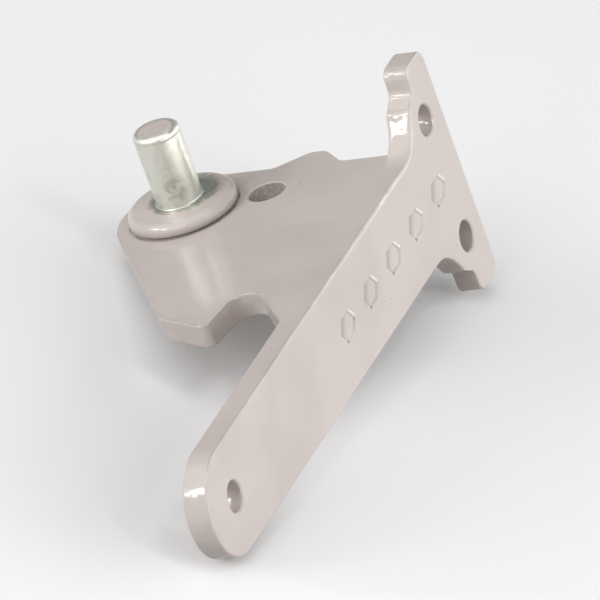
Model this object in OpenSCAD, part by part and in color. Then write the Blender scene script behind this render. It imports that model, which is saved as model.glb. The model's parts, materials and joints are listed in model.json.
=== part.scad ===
// Pivot hinge for a swinging door: a flat mounting plate, a leaf welded square to its
// back, and a fixed collared pin that the door turns on.
// Origin: pin axis at the collar's bearing face. +Z runs up the pin, +X along the
// mounting plate towards its head, and the mounting face looks along -Y.

/* [Plates] */
// Thickness of the mounting plate and of the leaf
plate_t = 5.2; // [4:0.1:6]
// Radius that breaks the outer edges of both plates
edge_r = 0.5; // [0.3:0.1:1.5]
// Broader radius that rounds the arm's upper edge
arm_edge_r = 1; // [0.3:0.1:1.5]
// Break at the rims of the holes
rim = 0.3; // [0.1:0.05:0.5]

/* [Mounting plate] */
// Distance from the pin axis to the mounting face
pin_setback = 45.1; // [40:0.1:60]
// Height of the arm
arm_h = 22.4; // [18:0.1:28]
// Distance from the pin axis to the centre of the arm's round end
arm_reach = 98.4; // [80:0.1:130]
// Distance from the pin axis to the square end of the head
head_reach = 30.6; // [28:0.1:40]
// Height of the head over both ears
head_h = 51; // [48:0.1:60]
// Width of the tip of each ear
ear_tip_w = 9.4; // [7:0.1:11]
// Radius of the three fixing holes
fixing_r = 3.13; // [2.5:0.01:3.5]
// Distance between the two holes in the ears
ear_pitch = 26.4; // [24:0.1:30]
// Distance from the pin axis to the holes in the ears
ear_hole_x = 22.8; // [21:0.1:25]
// Distance from the pin axis to the hole in the arm
arm_hole_x = 97.6; // [78:0.1:128]

/* [Coined marks] */
// Number of plain recesses along the face
mark_count = 5; // [0:1:6]
// Distance from one recess to the next
mark_pitch = 13; // [9:0.5:15]
// Length of a recess
mark_w = 7.8; // [4:0.1:8.4]
// Height of a recess
mark_h = 5; // [3:0.1:8]
// Depth of a recess
mark_depth = 0.4; // [0.2:0.05:1]
// Share of its length that a recess keeps at its floor
mark_floor = 0.84; // [0.6:0.01:0.95]

/* [Leaf] */
// Radius of the leaf's round end, about the pin axis
leaf_r = 14.1; // [12.5:0.1:16]
// Angle at which the leaf's long edge runs off from the mounting plate
leaf_taper = 33.4; // [30:0.1:36]
// Radius of the free hole
leaf_hole_r = 3.75; // [3:0.05:4.5]
// Radius at the bottom of the relief notch
notch_r = 3.6; // [2.5:0.1:4.5]

/* [Pin] */
// Radius of the pin
pin_r = 4.75; // [4:0.05:5.5]
// Height of the pin above the collar
pin_h = 16; // [10:0.1:25]
// Radius that rounds the pin's tip
pin_tip_r = 1.1; // [0.5:0.1:1.5]
// Radius of the collar
collar_r = 11.25; // [9.5:0.05:12.2]
// Thickness of the collar
collar_t = 3; // [2.8:0.1:5]
// Radius of the tenon in the leaf
tenon_r = 4; // [3:0.1:4.5]

/* [Hidden] */
$fn = 72;

paint = [0.72, 0.69, 0.66];
zinc = [0.80, 0.81, 0.78];
weld_paint = [0.70, 0.67, 0.64];

// Arcs above this radius turn in finer steps, in degrees, than tighter ones
broad_r = 6;
broad_step = 5;
tight_step = 10;
edge_steps = 4;
same_point = 0.01;
eps = 1;

face_y = -pin_setback;
seat_y = face_y + plate_t;
leaf_top = -collar_t;
arm_mid_z = leaf_top - arm_h / 2;

// An ear leaves the arm in a hollow curve, runs out at a slant to its shoulder and turns
// up into its tip
ear_slant = 57;
ear_shoulder_drop = 7.3;
ear_shoulder_w = 3.6;
ear_step_drop = 5.2;
ear_shoulder_x = head_reach - ear_tip_w - ear_shoulder_w;
ear_shoulder_z = head_h / 2 - ear_shoulder_drop;
ear_root_x = ear_shoulder_x - (ear_shoulder_z - arm_h / 2) / tan(ear_slant);
// Corners of one ear above the arm's centre line. A corner of an outline is
// [x, height or y, corner radius, edge radius].
ear_root = [ear_root_x, arm_h / 2, 9, edge_r];
ear_shoulder = [ear_shoulder_x, ear_shoulder_z, 3, edge_r];
ear_step = [head_reach - ear_tip_w, head_h / 2 - ear_step_drop, 1.8, edge_r];
ear_tip = [head_reach - ear_tip_w, head_h / 2, 2.4, edge_r];
ear_end = [head_reach, head_h / 2, 2.8, edge_r];
arm_end = [-arm_reach - arm_h / 2, arm_h / 2, arm_h / 2, edge_r];

first_mark_x = -34;

// The leaf's short edge swells into a small lug beside the free hole
lug_out = 5.1;
lug_r = 2.6;
lug_from_y = -28.9;
lug_tip_from_y = -23.9;
lug_tip_to_y = -20.4;
lug_to_y = -14;
leaf_apex_y = leaf_r * (1 + sin(leaf_taper)) / cos(leaf_taper);
heel_x = -43.3;
heel_y = (leaf_r + heel_x * sin(leaf_taper)) / cos(leaf_taper);
// Corners beside the relief notch
heel = [heel_x, heel_y, 4, edge_r];
toe = [-49.2, -23.6, 2, edge_r];
notch_apex = [-31.5, -26.6, notch_r, edge_r];
// The notch's lower flank meets the mounting plate at this x and slope
leaf_root_x = -49.8;
notch_slope = 36.3;
// The outline is drawn this much longer than the leaf and trimmed square at its root
root_spare = 8;
root_corner_r = 2;
leaf_hole_at = [4.5, -16.35];

weld_leg = 3;
// The bead stops this far short of each end of the joint
weld_setback = 5;

collar_top_r = 1.7;
collar_foot_r = 1;
pin_fillet = 0.5;
tenon_gap = 0.02;
// The tenon's end is headed over under the leaf
rivet_r = 5.8;
rivet_face_r = 4.6;
rivet_h = 1.6;

// Mirror image of a corner below the arm's centre line
function below(corner) = [corner[0], -corner[1], corner[2], corner[3]];

// The same corner with another edge radius
function with_edge(corner, r) = [corner[0], corner[1], corner[2], r];

// Outline whose corners are each rounded to their own radius, anticlockwise. A point is
// [x, y, normal x, normal y, edge radius], and where two arcs meet their shared point
// comes once.
function rounded(corners) =
    let (
        count = len(corners),
        points = [
            for (i = [0 : count - 1])
                each corner_arc(
                    corners[(i + count - 1) % count], corners[i], corners[(i + 1) % count]
                )
        ],
        last = len(points) - 1
    )
    [
        for (i = [0 : last])
            if (norm(points[i] - points[i == 0 ? last : i - 1]) > same_point)
                points[i]
    ];

// The arc that rounds corner b between its neighbours a and c
function corner_arc(a, b, c) =
    let (
        heading_in = atan2(b[1] - a[1], b[0] - a[0]),
        heading_out = atan2(c[1] - b[1], c[0] - b[0]),
        turn = (heading_out - heading_in + 540) % 360 - 180,
        side = sign(turn),
        back = b[2] * tan(abs(turn) / 2),
        start = [b[0] - back * cos(heading_in), b[1] - back * sin(heading_in)],
        centre = start + side * b[2] * [-sin(heading_in), cos(heading_in)],
        steps = ceil(abs(turn) / (b[2] > broad_r ? broad_step : tight_step))
    )
    [
        for (k = [0 : steps])
            let (
                dir = heading_in - side * 90 + turn * k / steps,
                out = [cos(dir), sin(dir)]
            )
            concat(centre + b[2] * out, side * out, b[3])
    ];

// Levels of a plate's edge from its lower face to its upper one, each [inset, height from
// the face it starts at] in edge radii, and that face's height
function edge_levels() =
    let (quarter = [for (k = [0 : edge_steps]) 90 * k / edge_steps])
    concat(
        [for (a = quarter) [1 - sin(a), 1 - cos(a), 0]],
        [for (a = quarter) [1 - cos(a), sin(a) - 1, plate_t]]
    );

// Plate of full thickness on a rounded outline: a square-edged core, and a rim swept
// round it whose section has both its outer corners rounded
module rounded_plate(outline) {
    levels = edge_levels();
    n = len(outline);
    m = len(levels);
    linear_extrude(plate_t)
        polygon([for (p = outline) [p[0] - p[4] * p[2], p[1] - p[4] * p[3]]]);
    polyhedron(
        points = [
            for (level = levels)
                for (p = outline)
                    let (inset = level[0] * p[4])
                    [p[0] - inset * p[2], p[1] - inset * p[3], level[2] + level[1] * p[4]]
        ],
        faces = [
            for (j = [0 : m - 1])
                for (i = [0 : n - 1])
                    let (
                        here = j * n,
                        above = (j + 1) % m * n,
                        next = (i + 1) % n
                    )
                    [here + i, above + i, above + next, here + next]
        ]
    );
}

// Hole through a plate that lies from z = 0 to plate_t, with broken rims
module plate_hole(r) {
    translate([0, 0, -eps])
        cylinder(r = r, h = plate_t + 2 * eps);
    translate([0, 0, -eps])
        cylinder(r1 = r + rim + eps, r2 = r, h = rim + eps);
    translate([0, 0, plate_t - rim])
        cylinder(r1 = r, r2 = r + rim + eps, h = rim + eps);
}

// Six-sided recess with sloping flanks, longer than it is high. It is drawn from its
// floor, and its flanks run on past the face.
module coined_mark() {
    w = mark_floor * mark_w;
    h = mark_floor * mark_h;
    cut = mark_depth + eps;
    linear_extrude(cut, scale = 1 + (1 / mark_floor - 1) * cut / mark_depth)
        polygon([
            [-w / 2, 0], [-w / 4, -h / 2], [w / 4, -h / 2],
            [w / 2, 0], [w / 4, h / 2], [-w / 4, h / 2]
        ]);
}

// Flat T-shaped plate: a long arm with a round end, and a head with an ear each side
module mounting_plate() {
    outline = rounded([
        arm_end, below(arm_end),
        below(ear_root), below(ear_shoulder), below(ear_step), below(ear_tip), below(ear_end),
        ear_end, ear_tip, ear_step, ear_shoulder, with_edge(ear_root, arm_edge_r)
    ]);
    color(paint)
        translate([0, seat_y, arm_mid_z])
            rotate([90, 0, 0])
                difference() {
                    union() {
                        rounded_plate(outline);
                        // the edge stays square where the leaf is joined to it
                        translate([leaf_root_x, arm_h / 2 - 2 * arm_edge_r, 0])
                            cube([leaf_r - leaf_root_x, 2 * arm_edge_r, 2 * arm_edge_r]);
                    }
                    for (side = [-1, 1])
                        translate([ear_hole_x, side * ear_pitch / 2, 0])
                            plate_hole(fixing_r);
                    translate([-arm_hole_x, 0, 0])
                        plate_hole(fixing_r);
                    if (mark_count > 0)
                        for (i = [0 : mark_count - 1])
                            translate([first_mark_x + i * mark_pitch, 0, plate_t - mark_depth])
                                coined_mark();
                }
}

// Leaf that stands square off the plate's back: round at the pin, tapered to a broad
// root, with a lug on its short edge and a relief notch beside the plate
module hinge_leaf() {
    root_y = seat_y - root_spare;
    root_w = leaf_r + lug_out - leaf_root_x;
    outline = rounded([
        [leaf_r, root_y, root_corner_r, edge_r],
        [leaf_r, lug_from_y, lug_r, edge_r],
        [leaf_r + lug_out, lug_tip_from_y, lug_r, edge_r],
        [leaf_r + lug_out, lug_tip_to_y, lug_r, edge_r],
        [leaf_r, lug_to_y, lug_r, edge_r],
        [leaf_r, leaf_apex_y, leaf_r, edge_r],
        heel,
        toe,
        notch_apex,
        [leaf_root_x - root_spare / tan(notch_slope), root_y, root_corner_r, edge_r]
    ]);
    color(paint)
        translate([0, 0, leaf_top - plate_t])
            difference() {
                // square root that seats against the mounting plate
                intersection() {
                    rounded_plate(outline);
                    translate([leaf_root_x, seat_y, -eps])
                        cube([root_w, leaf_r - seat_y, plate_t + 2 * eps]);
                }
                translate([leaf_hole_at[0], leaf_hole_at[1], 0])
                    plate_hole(leaf_hole_r);
                translate([0, 0, -eps])
                    cylinder(r = tenon_r + tenon_gap, h = plate_t + 2 * eps);
            }
}

// Round-faced fillet bead in the corner under the leaf
module weld_bead() {
    from_x = leaf_root_x + weld_setback;
    run = leaf_r - weld_setback - from_x;
    color(weld_paint)
        translate([from_x, seat_y, leaf_top - plate_t])
            intersection() {
                union() {
                    rotate([0, 90, 0])
                        cylinder(r = weld_leg, h = run);
                    sphere(r = weld_leg);
                    translate([run, 0, 0])
                        sphere(r = weld_leg);
                }
                translate([-2 * weld_leg, 0, -2 * weld_leg])
                    cube([run + 4 * weld_leg, 2 * weld_leg, 2 * weld_leg]);
            }
}

// Quarter disc about a point, turned so many degrees from its first quadrant
module quarter_disc(centre, r, turn) {
    translate(centre)
        intersection() {
            circle(r = r);
            rotate(turn)
                square(r);
        }
}

// Half section of the turned pin: shaft with a rounded tip, collar with round edges, and
// a tenon that is headed over under the leaf
module pin_profile() {
    foot_z = leaf_top;
    head_z = leaf_top - plate_t;
    polygon([
        [0, head_z], [tenon_r, head_z], [tenon_r, foot_z], [collar_r - collar_foot_r, foot_z],
        [collar_r - collar_foot_r, foot_z + collar_foot_r], [collar_r, foot_z + collar_foot_r],
        [collar_r, -collar_top_r], [collar_r - collar_top_r, -collar_top_r],
        [collar_r - collar_top_r, 0], [pin_r, 0], [pin_r, pin_h - pin_tip_r],
        [pin_r - pin_tip_r, pin_h - pin_tip_r], [pin_r - pin_tip_r, pin_h], [0, pin_h]
    ]);
    quarter_disc([pin_r - pin_tip_r, pin_h - pin_tip_r], pin_tip_r, 0);
    quarter_disc([collar_r - collar_top_r, -collar_top_r], collar_top_r, 0);
    quarter_disc([collar_r - collar_foot_r, foot_z + collar_foot_r], collar_foot_r, -90);
    difference() {
        translate([pin_r, 0])
            square(pin_fillet);
        translate([pin_r + pin_fillet, pin_fillet])
            circle(r = pin_fillet);
    }
}

// Turned pin, collar and tenon in one piece
module pivot_pin() {
    color(zinc) {
        rotate_extrude()
            pin_profile();
        // peened head
        translate([0, 0, leaf_top - plate_t - rivet_h])
            cylinder(r1 = rivet_face_r, r2 = rivet_r, h = rivet_h);
    }
}

mounting_plate();
hinge_leaf();
weld_bead();
pivot_pin();
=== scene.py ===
"""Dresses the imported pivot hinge: paint, zinc and weld materials, a table under it, soft
lights and the camera. Everything is in metres, in the part's own frame."""
import json
from math import cos, radians, sin

import bpy
from mathutils import Matrix, Vector


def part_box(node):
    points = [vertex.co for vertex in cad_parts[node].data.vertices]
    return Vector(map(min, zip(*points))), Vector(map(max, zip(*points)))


MM = 0.001

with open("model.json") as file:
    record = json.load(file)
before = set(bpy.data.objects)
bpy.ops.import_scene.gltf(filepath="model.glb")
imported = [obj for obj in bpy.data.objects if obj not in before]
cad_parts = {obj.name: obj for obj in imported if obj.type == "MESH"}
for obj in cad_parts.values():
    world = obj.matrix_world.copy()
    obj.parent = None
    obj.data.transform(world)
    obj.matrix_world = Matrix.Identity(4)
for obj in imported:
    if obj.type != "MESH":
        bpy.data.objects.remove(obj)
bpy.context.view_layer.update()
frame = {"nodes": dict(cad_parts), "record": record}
nodes = frame["nodes"]

plate_lo, plate_hi = (Vector(v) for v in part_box("mounting_plate"))
leaf_lo, leaf_hi = (Vector(v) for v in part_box("hinge_leaf"))
pin_lo, pin_hi = (Vector(v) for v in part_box("pivot_pin"))
bead_lo, bead_hi = (Vector(v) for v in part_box("weld_bead"))

mounts = {m["name"]: m for m in frame["record"]["mounts"]}
PIN_R = mounts["pivot_pin"]["dims"]["r_mm"] * MM
LEAF_HOLE = mounts["leaf_hole"]["pos_m"][:2]
LEAF_HOLE_R = mounts["leaf_hole"]["dims"]["r_mm"] * MM
COLLAR_R = pin_hi.x
LEAF_TOP = leaf_hi.z
SEAT_Y = plate_hi.y


# ---------------------------------------------------------------- node helpers

class Nodes:
    """Adds and links the nodes of one tree."""

    def __init__(self, tree):
        self.tree = tree
        tree.nodes.clear()

    def add(self, kind, inputs=None, **settings):
        node = self.tree.nodes.new(kind)
        for name, value in settings.items():
            setattr(node, name, value)
        for name, value in (inputs or {}).items():
            self.put(node.inputs[name], value)
        return node

    def put(self, socket, value):
        if isinstance(value, bpy.types.NodeSocket):
            self.tree.links.new(value, socket)
        else:
            socket.default_value = value

    def math(self, operation, a, b=0.0, clamp=False):
        node = self.add("ShaderNodeMath", operation=operation, use_clamp=clamp)
        self.put(node.inputs[0], a)
        self.put(node.inputs[1], b)
        return node.outputs[0]

    def span(self, value, lo, hi, out_lo=0.0, out_hi=1.0):
        """Value carried smoothly from lo..hi to out_lo..out_hi."""
        node = self.add("ShaderNodeMapRange", interpolation_type="SMOOTHSTEP")
        for name, v in (("Value", value), ("From Min", lo), ("From Max", hi),
                        ("To Min", out_lo), ("To Max", out_hi)):
            self.put(node.inputs[name], v)
        return node.outputs["Result"]

    def mix(self, factor, a, b):
        node = self.add("ShaderNodeMix", data_type="RGBA")
        self.put(node.inputs["Factor"], factor)
        self.put(node.inputs[6], a)
        self.put(node.inputs[7], b)
        return node.outputs[2]

    def blend(self, factor, a, b):
        node = self.add("ShaderNodeMix", data_type="FLOAT")
        self.put(node.inputs["Factor"], factor)
        self.put(node.inputs[2], a)
        self.put(node.inputs[3], b)
        return node.outputs[0]

    def noise(self, scale, detail=2.0, roughness=0.5, vector=None):
        inputs = {"Scale": scale, "Detail": detail, "Roughness": roughness}
        inputs["Vector"] = vector or self.place()
        return self.add("ShaderNodeTexNoise", inputs).outputs["Fac"]

    def place(self):
        """Position in the part's frame."""
        return self.add("ShaderNodeTexCoord").outputs["Object"]

    def axes(self):
        return self.add("ShaderNodeSeparateXYZ", {"Vector": self.place()}).outputs

    def radius(self, centre=(0, 0)):
        """Distance from an upright axis, the pin's unless its centre is given."""
        x, y = (self.math("SUBTRACT", v, c) for v, c in zip(self.axes(), centre))
        return self.math("SQRT", self.math("ADD", self.math("MULTIPLY", x, x),
                                           self.math("MULTIPLY", y, y)))

    def bump(self, height, distance, strength=1.0, normal=None):
        inputs = {"Height": height, "Distance": distance, "Strength": strength}
        if normal:
            inputs["Normal"] = normal
        return self.add("ShaderNodeBump", inputs).outputs["Normal"]


def new_material(name):
    material = bpy.data.materials.new(name)
    material.use_nodes = True
    return material, Nodes(material.node_tree)


def finish_surface(n, color, roughness, metallic=0.0, normal=None):
    shader = n.add("ShaderNodeBsdfPrincipled", {"Base Color": color, "Roughness": roughness,
                                                "Metallic": metallic})
    if normal:
        n.put(shader.inputs["Normal"], normal)
    n.add("ShaderNodeOutputMaterial", {"Surface": shader.outputs[0]})
    return shader


def rgb(r, g, b):
    """Linear colour of an 8-bit screen colour."""
    return tuple(((v / 255 + 0.055) / 1.055) ** 2.4 for v in (r, g, b)) + (1.0,)


# ---------------------------------------------------------------- materials

PAINT = rgb(201, 191, 186)
PAINT_DEEP = rgb(193, 183, 178)
SPECK = rgb(128, 118, 110)
ZINC = rgb(224, 224, 214)
ZINC_DARK = rgb(150, 153, 140)
ZINC_DULL = rgb(186, 190, 180)
# painted shade colour for the coined recesses and the leaf's free hole
HOLLOW_SHADE = rgb(160, 150, 142)
# painted highlight colour for one rim of each coined recess
HIGHLIGHT_TONE = rgb(246, 242, 238)
# painted shade colour at the collar's foot
FOOT_SHADE = rgb(92, 84, 78)

# The row of coined recesses: first centre, pitch and height on the arm, and half the width
# and height of one
MARK_X, MARK_PITCH, MARK_Z = -34.0 * MM, 13.0 * MM, -14.2 * MM
MARK_HALF_W, MARK_HALF_H = 3.9 * MM, 2.5 * MM
MARKS_END = 25.0 * MM

# The direction, in plan, from the pin's axis towards the camera
FRONT = (-0.87, -0.49)


def on_edge_walls(n):
    """1 on the punched walls of the plates' outlines, 0 on their faces."""
    normal = n.add("ShaderNodeSeparateXYZ", {"Vector": n.add("ShaderNodeTexCoord")
                                             .outputs["Normal"]}).outputs
    flat = n.math("MAXIMUM", n.math("ABSOLUTE", normal["Y"]), n.math("ABSOLUTE", normal["Z"]))
    return n.span(flat, 0.97, 0.75)


def specks(n):
    """Sparse pits in the coat."""
    spots = n.add("ShaderNodeTexVoronoi", {"Vector": n.place(), "Scale": 100.0})
    return n.span(spots.outputs["Distance"], 0.024, 0.012)


def paint_height(n):
    """Orange peel of the powder coat, in steps of PEEL_STEP."""
    peel = n.math("MULTIPLY", n.noise(850.0, 1.5, 0.45), 0.35)
    return n.math("ADD", peel, n.noise(90.0, 1.0, 0.4))


def total(n, *terms):
    """Sum of factor times value over pairs."""
    result = 0.0
    for factor, value in terms:
        result = n.math("ADD", result, n.math("MULTIPLY", value, factor))
    return result


def coined_marks(n, x, y, z):
    """Painted shade on the inner flank, a painted highlight along one rim, and the pinhole of each
    coined recess in the arm.
    """
    turn = n.math("FLOORED_MODULO", n.math("SUBTRACT", x, MARK_X - MARK_PITCH / 2), MARK_PITCH)
    u = n.math("SUBTRACT", turn, MARK_PITCH / 2)
    w = n.math("SUBTRACT", z, MARK_Z)
    # unit normal of the recess's sloping sides, and how far they lie from its centre
    side = Vector((MARK_HALF_H, MARK_HALF_W / 2)).normalized()
    reach = MARK_HALF_W * side.x
    row = n.math("MULTIPLY", n.span(y, plate_lo.y + 0.9 * MM, plate_lo.y + 0.8 * MM),
                 n.span(x, MARKS_END, MARKS_END - 0.5 * MM))
    row = n.math("MULTIPLY", row, n.span(x, MARK_X - MARK_PITCH / 2 - 0.5 * MM,
                                         MARK_X - MARK_PITCH / 2))
    inside = n.math("MULTIPLY", row, n.span(y, plate_lo.y + 0.05 * MM, plate_lo.y + 0.2 * MM))
    inside = n.math("MULTIPLY", inside, n.span(n.math("ABSOLUTE", w), MARK_HALF_H + 0.2 * MM,
                                               MARK_HALF_H))
    left = total(n, (-side.x, u), (side.y, w))
    flank_shade = n.math("MULTIPLY", inside, n.span(left, -0.2 * reach, 0.75 * reach))
    right = total(n, (side.x, u), (side.y, w))
    rim = n.math("MULTIPLY", n.span(right, reach - 0.25 * MM, reach - 0.05 * MM),
                 n.span(right, reach + 0.35 * MM, reach + 0.15 * MM))
    along = n.math("ABSOLUTE", n.math("ADD", total(n, (-side.y, u), (side.x, w)), 0.8 * MM))
    rim_highlight = n.math("MULTIPLY", n.math("MULTIPLY", rim, row), n.span(along, 1.7 * MM, 1.1 * MM))
    du = n.math("ADD", u, 0.5 * MARK_HALF_W)
    dw = n.math("ADD", w, 0.96 * MARK_HALF_H)
    off = n.math("SQRT", n.math("ADD", n.math("MULTIPLY", du, du), n.math("MULTIPLY", dw, dw)))
    hole = n.math("MULTIPLY", row, n.span(off, 0.42 * MM, 0.25 * MM))
    return flank_shade, rim_highlight, hole


PEEL_STEP = 0.05 * MM


def paint_color(n):
    return n.mix(n.span(n.noise(38.0, 3.0, 0.55), 0.35, 0.65), PAINT, PAINT_DEEP)


def paint_material():
    material, n = new_material("powder_coat")
    x, y, z = n.axes()
    # a soft line of gathered paint at the top of the joint of leaf and plate
    off_seam = n.math("ABSOLUTE", n.math("SUBTRACT", y, SEAT_Y))
    on_top = n.span(z, LEAF_TOP - 0.4 * MM, LEAF_TOP - 0.1 * MM)
    along = n.math("MULTIPLY", n.span(x, leaf_lo.x, leaf_lo.x + MM),
                   n.span(x, 14.1 * MM, 13.1 * MM))
    seam = n.math("MULTIPLY", n.math("MULTIPLY", n.span(off_seam, 0.9 * MM, 0.1 * MM), on_top),
                  along)
    flank_shade, rim_highlight, hole = coined_marks(n, x, y, z)
    pits = n.math("MAXIMUM", specks(n), hole)
    sag = n.math("MULTIPLY", n.noise(260.0, 1.0, 0.5), on_edge_walls(n))
    # the leaf's free hole: painted shade, darker and grained inside the bore, over a rough grained
    # bump
    bore = n.span(n.radius(LEAF_HOLE), LEAF_HOLE_R + 0.12 * MM, LEAF_HOLE_R + 0.02 * MM)
    grain = n.noise(1500.0, 2.0)
    height = total(n, (1.0, paint_height(n)), (0.5, seam), (-1.5, pits), (8.0, sag),
                   (2.5, n.math("MULTIPLY", grain, bore)))
    # painted shade on each coined recess's inner flank, and a painted highlight along its rim
    color = n.mix(n.math("MULTIPLY", flank_shade, 0.8), n.mix(pits, paint_color(n), SPECK), HOLLOW_SHADE)
    color = n.mix(n.math("MULTIPLY", rim_highlight, 0.85), color, HIGHLIGHT_TONE)
    # painted shade inside the free hole
    color = n.mix(n.math("MULTIPLY", bore, n.span(grain, 0.35, 0.6, 0.1, 0.65)), color, HOLLOW_SHADE)
    # painted shade: a dark line on the leaf round the collar's foot
    off_foot = n.math("ABSOLUTE", n.math("SUBTRACT", n.radius(), COLLAR_R))
    foot = n.math("MULTIPLY", n.span(off_foot, 0.4 * MM, 0.05 * MM), on_top)
    foot = n.math("MULTIPLY", foot, n.span(n.noise(500.0, 2.0), 0.3, 0.65, 0.1, 0.7))
    finish_surface(n, n.mix(foot, color, FOOT_SHADE), 0.1, normal=n.bump(height, PEEL_STEP))
    return material


def weld_material():
    material, n = new_material("painted_weld")
    ripple = n.add("ShaderNodeTexWave", {"Vector": n.place(), "Scale": 130.0, "Distortion": 3.0,
                                         "Detail": 1.0, "Detail Scale": 60.0},
                   wave_type="BANDS", bands_direction="X").outputs["Fac"]
    height = n.math("ADD", ripple, n.math("MULTIPLY", paint_height(n), 0.2))
    finish_surface(n, paint_color(n), 0.25, normal=n.bump(height, 0.25 * MM, 0.8))
    return material


PATCH = (-4.1 * MM, -2.3 * MM, 4.2 * MM)


def zinc_material():
    """Zinc-plated pin. The collar's rim, the headed end and the pin's tip carry paint."""
    material, n = new_material("zinc_and_overspray")
    x, y, z = n.axes()
    r = n.radius()
    # bare ring round the pin, wider at the back and right, with a soft and ragged edge
    ragged = n.math("MULTIPLY", n.math("SUBTRACT", n.noise(300.0, 3.0, 0.6), 0.5), 4.2 * MM)
    lean = n.math("MULTIPLY", n.math("SUBTRACT", x, n.math("MULTIPLY", y, 0.4)), 0.16)
    edge = n.math("SUBTRACT", n.math("SUBTRACT", r, ragged), lean)
    ring = n.span(edge, PIN_R + 1.2 * MM, PIN_R + 3.2 * MM)
    below_shaft = n.span(z, 0.5 * MM, 0.1 * MM)
    # the tip's flat took paint too, and over its round edge at the front
    behind = n.math("ADD", n.math("MULTIPLY", x, -FRONT[0]), n.math("MULTIPLY", y, -FRONT[1]))
    tip_edge = n.math("ADD", n.math("MULTIPLY", behind, 0.12), n.math(
        "ADD", r, n.math("MULTIPLY", n.math("SUBTRACT", n.noise(600.0), 0.5), 1.2 * MM)))
    tip = n.math("MULTIPLY", n.span(tip_edge, PIN_R - 1.1 * MM, PIN_R - 1.35 * MM),
                 n.span(z, pin_hi.z - 0.6 * MM, pin_hi.z - 0.4 * MM))
    under = n.span(z, LEAF_TOP - 0.1 * MM, LEAF_TOP - 0.5 * MM)
    painted = n.math("MAXIMUM", n.math("MULTIPLY", ring, below_shaft), n.math("MAXIMUM", tip, under))

    # dull mottling, a rubbed patch low on the shaft's front, and the dulled collar
    blotch = n.span(n.noise(420.0, 4.0, 0.65), 0.42, 0.66)
    patch_at = n.add("ShaderNodeVectorMath", {0: n.place(), 1: PATCH}, operation="DISTANCE")
    patch = n.span(patch_at.outputs["Value"], 3.4 * MM, 1.2 * MM)
    stain = n.math("MULTIPLY", blotch, n.math("ADD", n.span(z, 12.0 * MM, 1.0 * MM, 0.15, 0.3),
                                              n.math("MULTIPLY", patch, 0.45)))
    shaft = n.mix(stain, ZINC, ZINC_DARK)
    bare = n.mix(below_shaft, shaft, n.mix(blotch, ZINC_DULL, ZINC_DARK))
    color = n.mix(painted, bare, paint_color(n))
    # painted shade: the collar's side darkens towards the leaf, most at its foot
    foot = n.math("ADD", n.span(z, LEAF_TOP + 1.9 * MM, LEAF_TOP, 0.0, 0.35),
                  n.span(z, LEAF_TOP + 0.7 * MM, LEAF_TOP + 0.1 * MM, 0.0, 0.45))
    foot = n.math("MULTIPLY", foot, n.math("SUBTRACT", 1.0, under))
    color = n.mix(foot, color, FOOT_SHADE)
    grain = n.add("ShaderNodeTexNoise", {"Scale": 1.0, "Detail": 3.0, "Vector": n.add(
        "ShaderNodeMapping", {"Vector": n.place(), "Scale": (900.0, 900.0, 5000.0)}
    ).outputs[0]}).outputs["Fac"]
    # the coat stands a little proud of the bare metal
    ragged_tip = n.math("MULTIPLY", n.noise(900.0, 2.0, 0.6),
                        n.span(z, pin_hi.z - 1.6 * MM, pin_hi.z - 0.9 * MM))
    height = total(n, (1.0, n.blend(painted, grain, paint_height(n))), (1.2, painted),
                   (6.0, ragged_tip))
    roughness = n.blend(painted, n.math("ADD", n.math("MULTIPLY", blotch, 0.14), 0.3), 0.12)
    metallic = n.math("MULTIPLY", n.math("SUBTRACT", 1.0, painted), 0.85)
    finish_surface(n, color, roughness, metallic, n.bump(height, PEEL_STEP, 0.6))
    return material


# ---------------------------------------------------------------- carried-over solids

SMOOTH_ANGLE = radians(32)


def smooth_group():
    """Geometry nodes that shade smooth and keep edges sharper than SMOOTH_ANGLE."""
    group = bpy.data.node_groups.new("smooth_by_angle", "GeometryNodeTree")
    group.interface.new_socket("Geometry", in_out="INPUT", socket_type="NodeSocketGeometry")
    group.interface.new_socket("Geometry", in_out="OUTPUT", socket_type="NodeSocketGeometry")
    n = Nodes(group)
    source = n.add("NodeGroupInput").outputs[0]
    faces = n.add("GeometryNodeSetShadeSmooth", {"Geometry": source}, domain="FACE")
    angle = n.add("GeometryNodeInputMeshEdgeAngle").outputs["Unsigned Angle"]
    sharp = n.math("GREATER_THAN", angle, SMOOTH_ANGLE)
    edges = n.add("GeometryNodeSetShadeSmooth", {"Geometry": faces.outputs[0],
                                                 "Selection": sharp, "Shade Smooth": False},
                  domain="EDGE")
    n.add("NodeGroupOutput", {0: edges.outputs[0]})
    return group


def dress(name, material, group):
    """Gives a CAD node its material and even shading, and leaves its mesh as it is."""
    piece = nodes[name]
    piece.data.materials.clear()
    piece.data.materials.append(material)
    weld = piece.modifiers.new("weld", "WELD")
    weld.merge_threshold = 0.002 * MM
    piece.modifiers.new("smooth", "NODES").node_group = group
    even = piece.modifiers.new("even_normals", "WEIGHTED_NORMAL")
    even.keep_sharp = True
    even.weight = 100
    return piece


# ---------------------------------------------------------------- table and lights

def outermost(name, direction):
    """The node's point that lies furthest along a direction."""
    return max((v.co for v in nodes[name].data.vertices), key=direction.dot).copy()


def table_plane():
    """The part lies on its arm's end, its lower ear and the leaf's round end."""
    foot = outermost("mounting_plate", Vector((0.3, 0.4, -1)))
    arm_end = outermost("mounting_plate", Vector((-1.0, 0.4, -1)))
    leaf_end = outermost("hinge_leaf", Vector((0, 1, -1)))
    up = (foot - arm_end).cross(leaf_end - arm_end).normalized()
    lowest = min(up.dot(v.co) for piece in nodes.values() for v in piece.data.vertices)
    return up, lowest


BACKDROP = rgb(233, 232, 231)
TABLE = rgb(241, 241, 241)
TABLE_GLOW = 0.02
BOUNCE = rgb(160, 158, 155)
SPREAD = 3.0
LIGHT_DISTANCE = 1.5


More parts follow.
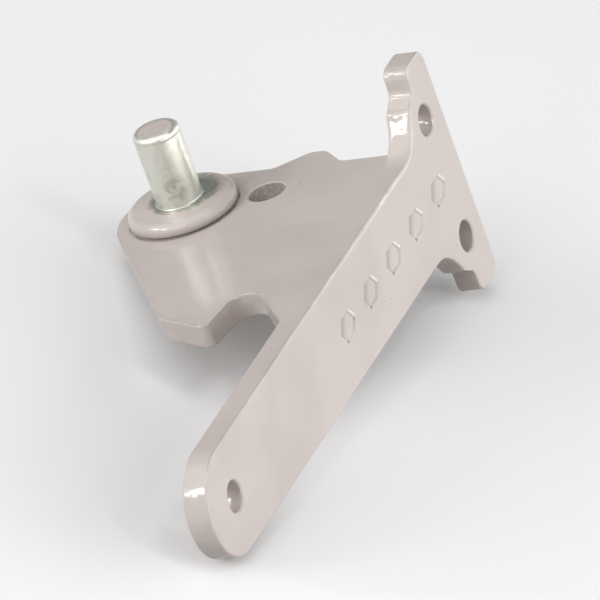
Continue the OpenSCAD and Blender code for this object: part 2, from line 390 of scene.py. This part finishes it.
def seen_directly(n):
    """1 for what the camera sees, straight or by reflection, and 0 for diffuse light."""
    path = n.add("ShaderNodeLightPath").outputs
    mirrored = n.math("MAXIMUM", path["Is Glossy Ray"], path["Is Transmission Ray"])
    return n.math("MAXIMUM", path["Is Camera Ray"], mirrored)


def table_material():
    """Pale table that gives little light back to the part, and isn't there from below."""
    material, n = new_material("table")
    seen = seen_directly(n)
    # painted shadow: in reflections only, the table is darker on the side in front of the pin
    front = n.add("ShaderNodeVectorMath", {0: n.place(), 1: FRONT + (0.0,)},
                  operation="DOT_PRODUCT").outputs["Value"]
    glossy = n.add("ShaderNodeLightPath").outputs["Is Glossy Ray"]
    reflected_shadow = n.math("MULTIPLY", n.span(front, 0.10, 0.30, 0.0, 0.6), glossy)
    color = n.mix(reflected_shadow, TABLE, (0.0, 0.0, 0.0, 1.0))
    diffuse = n.add("ShaderNodeBsdfDiffuse", {"Color": n.mix(seen, BOUNCE, color)})
    glow = n.add("ShaderNodeEmission", {"Color": TABLE,
                                        "Strength": n.math("MULTIPLY", seen, TABLE_GLOW)})
    lit = n.add("ShaderNodeAddShader", {0: diffuse.outputs[0], 1: glow.outputs[0]})
    clear = n.add("ShaderNodeBsdfTransparent")
    back = n.add("ShaderNodeNewGeometry").outputs["Backfacing"]
    surface = n.add("ShaderNodeMixShader", {0: back, 1: lit.outputs[0], 2: clear.outputs[0]})
    n.add("ShaderNodeOutputMaterial", {"Surface": surface.outputs[0]})
    return material


def make_table(up, level):
    across = up.cross(Vector((0, 1, 0))).normalized()
    along = up.cross(across)
    centre = up * level
    corners = [centre + SPREAD * (a * across + b * along)
               for a, b in ((-1, -1), (1, -1), (1, 1), (-1, 1))]
    mesh = bpy.data.meshes.new("table")
    mesh.from_pydata([tuple(c) for c in corners], [], [(0, 1, 2, 3)])
    if mesh.polygons[0].normal.dot(up) < 0:
        mesh.flip_normals()
    table = bpy.data.objects.new("table", mesh)
    bpy.context.scene.collection.objects.link(table)
    table.data.materials.append(table_material())


def make_world(strength, mirrored):
    """Plain room that shows as the backdrop, with more light in its reflections."""
    world = bpy.data.worlds.new("room")
    world.use_nodes = True
    bpy.context.scene.world = world
    n = Nodes(world.node_tree)
    path = n.add("ShaderNodeLightPath").outputs
    level = n.math("ADD", strength, n.math("MULTIPLY", path["Is Glossy Ray"],
                                           mirrored - strength))
    room = n.add("ShaderNodeBackground", {"Color": (1, 1, 1, 1), "Strength": level})
    seen = n.add("ShaderNodeBackground", {"Color": BACKDROP, "Strength": 1.0})
    surface = n.add("ShaderNodeMixShader", {0: path["Is Camera Ray"], 1: room.outputs[0],
                                            2: seen.outputs[0]})
    n.add("ShaderNodeOutputWorld", {"Surface": surface.outputs[0]})


def soft_light(name, direction, size, power):
    """Panel LIGHT_DISTANCE from the part, upright over the table: size is width, height."""
    light = bpy.data.lights.new(name, "AREA")
    light.shape = "RECTANGLE"
    light.size, light.size_y = size
    light.energy = power
    lamp = bpy.data.objects.new(name, light)
    bpy.context.scene.collection.objects.link(lamp)
    towards = Vector(direction).normalized()
    across = table_up.cross(towards).normalized()
    turn = Matrix((across, towards.cross(across), towards)).transposed().to_4x4()
    middle = (plate_lo + plate_hi) / 2
    lamp.matrix_world = Matrix.Translation(middle + towards * LIGHT_DISTANCE) @ turn


# ---------------------------------------------------------------- camera

VIEW_AZIMUTH = radians(-150.46)
VIEW_ELEVATION = radians(24.68)
VIEW_ROLL = radians(-19.8)
VIEW_DISTANCE = 3.333
# 36 mm wide sensor
VIEW_LENS = 1029.6
AIM = Vector((-21.83, -30.06, -13.81)) * MM


def camera_axes():
    """The camera's right, up and back directions."""
    az, el = VIEW_AZIMUTH, VIEW_ELEVATION
    back = Vector((cos(el) * cos(az), cos(el) * sin(az), sin(el)))
    level = Vector((-sin(az), cos(az), 0))
    upright = back.cross(level)
    right = level * cos(VIEW_ROLL) + upright * sin(VIEW_ROLL)
    return right, back.cross(right), back


def make_camera():
    right, up, back = camera_axes()
    data = bpy.data.cameras.new("camera")
    data.lens = VIEW_LENS
    data.sensor_width = 36
    data.clip_start = 0.1
    data.clip_end = 50
    camera = bpy.data.objects.new("camera", data)
    bpy.context.scene.collection.objects.link(camera)
    turn = Matrix((right, up, back)).transposed().to_4x4()
    camera.matrix_world = Matrix.Translation(AIM + back * VIEW_DISTANCE) @ turn
    bpy.context.scene.camera = camera


def from_camera(right, up, back):
    """A direction given as seen from the camera."""
    axes = camera_axes()
    return right * axes[0] + up * axes[1] + back * axes[2]


# ---------------------------------------------------------------- scene

make_camera()
even = smooth_group()
paint = paint_material()
dress("mounting_plate", paint, even)
dress("hinge_leaf", paint, even)
dress("weld_bead", weld_material(), even)
dress("pivot_pin", zinc_material(), even)

table_up, table_level = table_plane()
make_table(table_up, table_level)
make_world(0.01, 0.3)
soft_light("overhead", (-0.35, 0.10, 0.93), (2.6, 2.6), 22.0)
soft_light("right_low", (-0.02, -0.93, -0.36), (4.4, 1.5), 32.0)
soft_light("right", (0.15, -0.97, -0.10), (4.0, 1.6), 9.0)
soft_light("right_back", (0.60, -0.78, -0.15), (3.0, 1.8), 18.5)
soft_light("window_left", (-0.66, 0.40, 0.63), (0.30, 0.40), 4.7)
soft_light("window_right", (-0.42, 0.64, 0.64), (0.30, 0.40), 4.7)
soft_light("ceiling", (-0.10, -0.62, 0.78), (0.3, 0.3), 1.8)
soft_light("near", (-0.78, -0.10, 0.60), (0.6, 0.8), 3.0)
soft_light("lamp", (-0.21, -0.88, 0.42), (0.2, 0.4), 1.9)

scene = bpy.context.scene
scene.view_settings.view_transform = "Standard"
